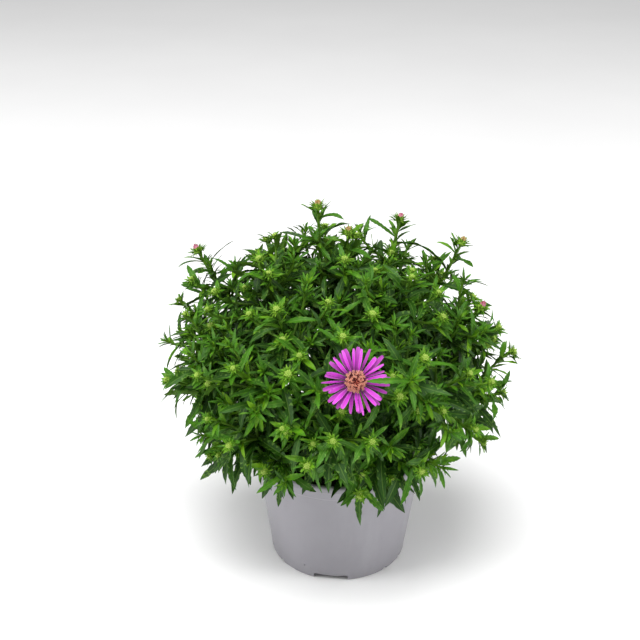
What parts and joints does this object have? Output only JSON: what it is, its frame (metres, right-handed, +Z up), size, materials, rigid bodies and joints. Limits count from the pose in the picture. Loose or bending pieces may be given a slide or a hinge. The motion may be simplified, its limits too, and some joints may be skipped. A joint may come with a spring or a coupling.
{
  "type": "potted aster",
  "caption": "Bushy potted aster with narrow toothed leaves, green bud heads and an open magenta flower, in a grey tapered nursery pot.",
  "frame": {"origin": "middle of the pot's foot, on the surface that the pot stands on", "axes": "+Z up along the pot's axis; -Y towards the side that carries the open flower"},
  "size_m": [0.2211, 0.2222, 0.2386],
  "materials": {
    "pot": "satin",
    "soil": "matte",
    "leaf": "satin",
    "petal": "satin",
    "floret": "matte",
    "pink_petal": "satin",
    "faded_petal": "matte"
  },
  "bodies": {
    "root": {"bloom_disc": "floret", "bloom_rays": "petal", "pot": "pot", "soil": "soil", "stem_01": "leaf", "stem_02": "leaf", "stem_03": "leaf", "stem_04": "leaf", "stem_05": "leaf", "stem_06": "leaf", "stem_07": "leaf", "stem_08": "leaf", "stem_09": "leaf", "stem_10": "leaf", "stem_11": "leaf", "stem_12": "leaf", "stem_13": "leaf", "stem_14": "leaf", "stem_15": "leaf", "stem_16": "leaf", "stem_17": "leaf", "stem_18": "leaf", "stem_19": "leaf", "stem_20": "leaf", "stem_21": "leaf", "stem_22": "leaf", "stem_23": "leaf", "stem_24": "leaf", "stem_25": "leaf", "stem_26": "leaf", "stem_27": "leaf", "stem_28": "leaf", "tuft_faded_right": "faded_petal", "tuft_faded_top": "faded_petal", "tuft_pink_left": "pink_petal", "tuft_pink_right": "pink_petal", "tuft_pink_top": "pink_petal", "tuft_tall": "faded_petal"}
  },
  "joints": []
}
